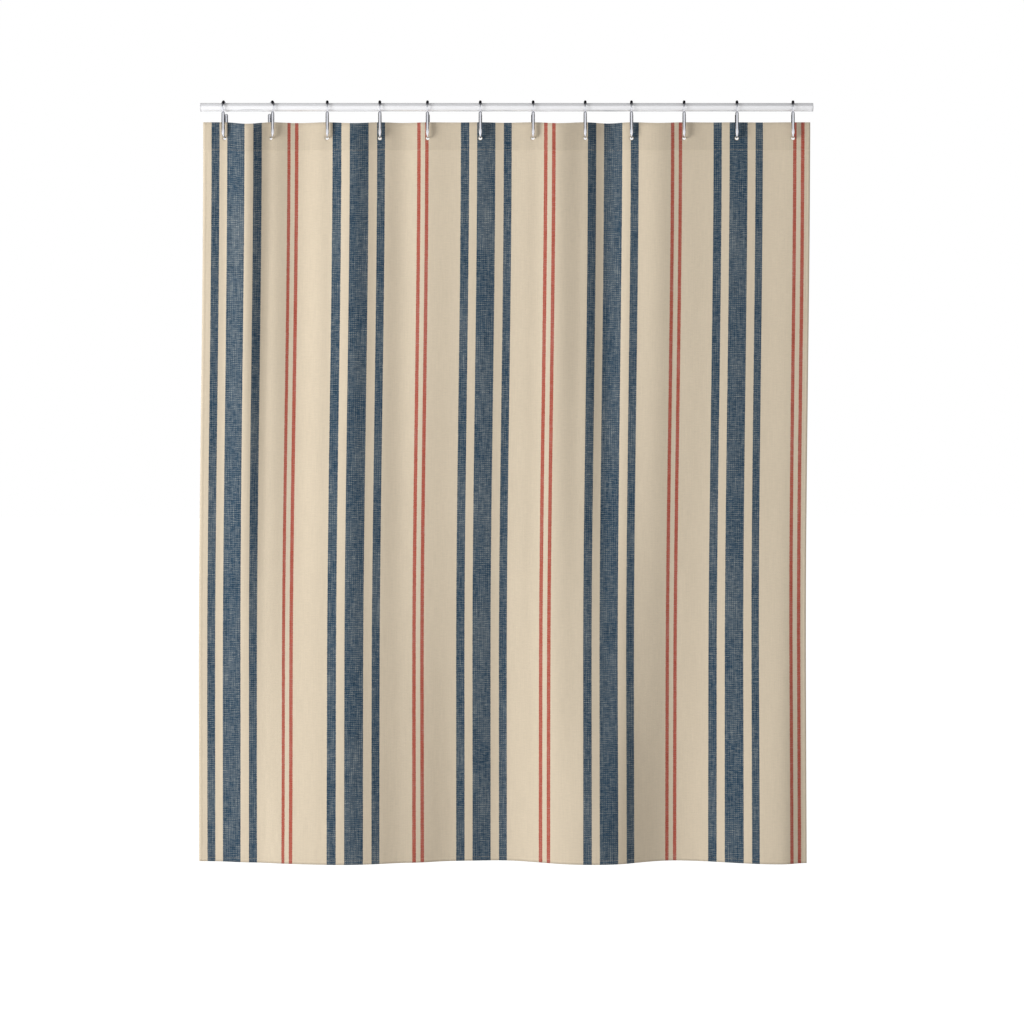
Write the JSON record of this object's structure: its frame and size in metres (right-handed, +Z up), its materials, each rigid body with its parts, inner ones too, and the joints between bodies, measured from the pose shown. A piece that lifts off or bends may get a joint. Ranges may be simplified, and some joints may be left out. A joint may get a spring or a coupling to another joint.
{
  "type": "shower curtain",
  "caption": "Striped cloth shower curtain with hemmed edges, hung by stitched buttonholes from roller hooks that slide along a straight round rod.",
  "frame": {"origin": "centre of the rod's left end face", "axes": "+X along the rod towards its right end, -Y the front of the curtain, +Z up"},
  "size_m": [1.567, 0.0812, 1.9344],
  "materials": {
    "rod_steel": "polished bright steel tube",
    "plug": "smooth moulded plug, the rod's colour",
    "hook_chrome": "polished chrome on bent wire",
    "roller_chrome": "dark polished chrome",
    "ticking_cloth": "coarse plain-woven ticking, cream with blue and red stripes",
    "hem_cloth": "the same cloth, turned in and stitched",
    "buttonhole_thread": "close buttonhole stitching in cream thread"
  },
  "bodies": {
    "rod": {"rod_tube": "rod_steel", "end_plug_left": "plug", "end_plug_right": "plug"},
    "curtain": {"curtain_panel": "ticking_cloth", "top_hem": "hem_cloth", "bottom_hem": "hem_cloth", "left_hem": "hem_cloth", "right_hem": "hem_cloth"},
    "hook_01": {"hook_01": "hook_chrome", "buttonhole_01": "buttonhole_thread"},
    "hook_02": {"hook_02": "hook_chrome", "buttonhole_02": "buttonhole_thread"},
    "hook_03": {"hook_03": "hook_chrome", "buttonhole_03": "buttonhole_thread"},
    "hook_04": {"hook_04": "hook_chrome", "buttonhole_04": "buttonhole_thread"},
    "hook_05": {"hook_05": "hook_chrome", "buttonhole_05": "buttonhole_thread"},
    "hook_06": {"hook_06": "hook_chrome", "buttonhole_06": "buttonhole_thread"},
    "hook_07": {"hook_07": "hook_chrome", "buttonhole_07": "buttonhole_thread"},
    "hook_08": {"hook_08": "hook_chrome", "buttonhole_08": "buttonhole_thread"},
    "hook_09": {"hook_09": "hook_chrome", "buttonhole_09": "buttonhole_thread"},
    "hook_10": {"hook_10": "hook_chrome", "buttonhole_10": "buttonhole_thread"},
    "hook_11": {"hook_11": "hook_chrome", "buttonhole_11": "buttonhole_thread"},
    "hook_12": {"hook_12": "hook_chrome", "buttonhole_12": "buttonhole_thread"},
    "roller_01": {"roller_01": "roller_chrome"},
    "roller_02": {"roller_02": "roller_chrome"},
    "roller_03": {"roller_03": "roller_chrome"},
    "roller_04": {"roller_04": "roller_chrome"},
    "roller_05": {"roller_05": "roller_chrome"},
    "roller_06": {"roller_06": "roller_chrome"},
    "roller_07": {"roller_07": "roller_chrome"},
    "roller_08": {"roller_08": "roller_chrome"},
    "roller_09": {"roller_09": "roller_chrome"},
    "roller_10": {"roller_10": "roller_chrome"},
    "roller_11": {"roller_11": "roller_chrome"},
    "roller_12": {"roller_12": "roller_chrome"}
  },
  "joints": [
    {"name": "curtain_sway", "type": "hinge", "parent": "rod", "child": "curtain", "pos_m": [0.78, 0, 0], "axis": [1, 0, 0], "range_deg": [-15, 15]},
    {"name": "curtain_draw", "type": "slide", "parent": "curtain", "child": "hook_12", "axis": [1, 0, 0], "range_m": [-1.0563, 0], "deforming": ["curtain_panel", "top_hem", "bottom_hem", "left_hem", "right_hem"]},
    {"name": "hook_01_slide", "type": "slide", "parent": "curtain", "child": "hook_01", "axis": [1, 0, 0], "range_m": [-0.0439, 0]},
    {"name": "hook_02_slide", "type": "slide", "parent": "curtain", "child": "hook_02", "axis": [1, 0, 0], "range_m": [-0.1265, 0]},
    {"name": "hook_03_slide", "type": "slide", "parent": "curtain", "child": "hook_03", "axis": [1, 0, 0], "range_m": [-0.2266, 0]},
    {"name": "hook_04_slide", "type": "slide", "parent": "curtain", "child": "hook_04", "axis": [1, 0, 0], "range_m": [-0.3204, 0]},
    {"name": "hook_05_slide", "type": "slide", "parent": "curtain", "child": "hook_05", "axis": [1, 0, 0], "range_m": [-0.4058, 0]},
    {"name": "hook_06_slide", "type": "slide", "parent": "curtain", "child": "hook_06", "axis": [1, 0, 0], "range_m": [-0.4996, 0]},
    {"name": "hook_07_slide", "type": "slide", "parent": "curtain", "child": "hook_07", "axis": [1, 0, 0], "range_m": [-0.5934, 0]},
    {"name": "hook_08_slide", "type": "slide", "parent": "curtain", "child": "hook_08", "axis": [1, 0, 0], "range_m": [-0.6865, 0]},
    {"name": "hook_09_slide", "type": "slide", "parent": "curtain", "child": "hook_09", "axis": [1, 0, 0], "range_m": [-0.7691, 0]},
    {"name": "hook_10_slide", "type": "slide", "parent": "curtain", "child": "hook_10", "axis": [1, 0, 0], "range_m": [-0.8629, 0]},
    {"name": "hook_11_slide", "type": "slide", "parent": "curtain", "child": "hook_11", "axis": [1, 0, 0], "range_m": [-0.9567, 0]},
    {"name": "roller_01_spin", "type": "hinge", "parent": "hook_01", "child": "roller_01", "pos_m": [0.05937, -0.01054, 0.01054], "axis": [-0.1736, -0.6964, -0.6964], "continuous": true},
    {"name": "roller_02_spin", "type": "hinge", "parent": "hook_02", "child": "roller_02", "pos_m": [0.18537, -0.01054, 0.01054], "axis": [0.339, -0.6652, -0.6652], "continuous": true},
    {"name": "roller_03_spin", "type": "hinge", "parent": "hook_03", "child": "roller_03", "pos_m": [0.32392, -0.01054, 0.01054], "axis": [0.0617, -0.7058, -0.7058], "continuous": true},
    {"name": "roller_04_spin", "type": "hinge", "parent": "hook_04", "child": "roller_04", "pos_m": [0.45755, -0.01054, 0.01054], "axis": [0.037, -0.7066, -0.7066], "continuous": true},
    {"name": "roller_05_spin", "type": "hinge", "parent": "hook_05", "child": "roller_05", "pos_m": [0.57863, -0.01054, 0.01054], "axis": [-0.0247, -0.7069, -0.7069], "continuous": true},
    {"name": "roller_06_spin", "type": "hinge", "parent": "hook_06", "child": "roller_06", "pos_m": [0.713, -0.01054, 0.01054], "axis": [0, -0.7071, -0.7071], "continuous": true},
    {"name": "roller_07_spin", "type": "hinge", "parent": "hook_07", "child": "roller_07", "pos_m": [0.84737, -0.01054, 0.01054], "axis": [0.0247, -0.7069, -0.7069], "continuous": true},
    {"name": "roller_08_spin", "type": "hinge", "parent": "hook_08", "child": "roller_08", "pos_m": [0.97963, -0.01054, 0.01054], "axis": [-0.0247, -0.7069, -0.7069], "continuous": true},
    {"name": "roller_09_spin", "type": "hinge", "parent": "hook_09", "child": "roller_09", "pos_m": [1.09726, -0.01054, 0.01054], "axis": [-0.0494, -0.7062, -0.7062], "continuous": true},
    {"name": "roller_10_spin", "type": "hinge", "parent": "hook_10", "child": "roller_10", "pos_m": [1.23108, -0.01054, 0.01054], "axis": [-0.0617, -0.7058, -0.7058], "continuous": true},
    {"name": "roller_11_spin", "type": "hinge", "parent": "hook_11", "child": "roller_11", "pos_m": [1.36545, -0.01054, 0.01054], "axis": [-0.037, -0.7066, -0.7066], "continuous": true},
    {"name": "roller_12_spin", "type": "hinge", "parent": "hook_12", "child": "roller_12", "pos_m": [1.50789, -0.01054, 0.01054], "axis": [-0.0741, -0.7052, -0.7052], "continuous": true}
  ],
  "couplings": [
    {"joint": "hook_01_slide", "follows": "curtain_draw", "ratio": 0.04109},
    {"joint": "hook_02_slide", "follows": "curtain_draw", "ratio": 0.11928},
    {"joint": "hook_03_slide", "follows": "curtain_draw", "ratio": 0.21405},
    {"joint": "hook_04_slide", "follows": "curtain_draw", "ratio": 0.30285},
    {"joint": "hook_05_slide", "follows": "curtain_draw", "ratio": 0.3837},
    {"joint": "hook_06_slide", "follows": "curtain_draw", "ratio": 0.4725},
    {"joint": "hook_07_slide", "follows": "curtain_draw", "ratio": 0.5613},
    {"joint": "hook_08_slide", "follows": "curtain_draw", "ratio": 0.64944},
    {"joint": "hook_09_slide", "follows": "curtain_draw", "ratio": 0.72763},
    {"joint": "hook_10_slide", "follows": "curtain_draw", "ratio": 0.81643},
    {"joint": "hook_11_slide", "follows": "curtain_draw", "ratio": 0.90524}
  ]
}
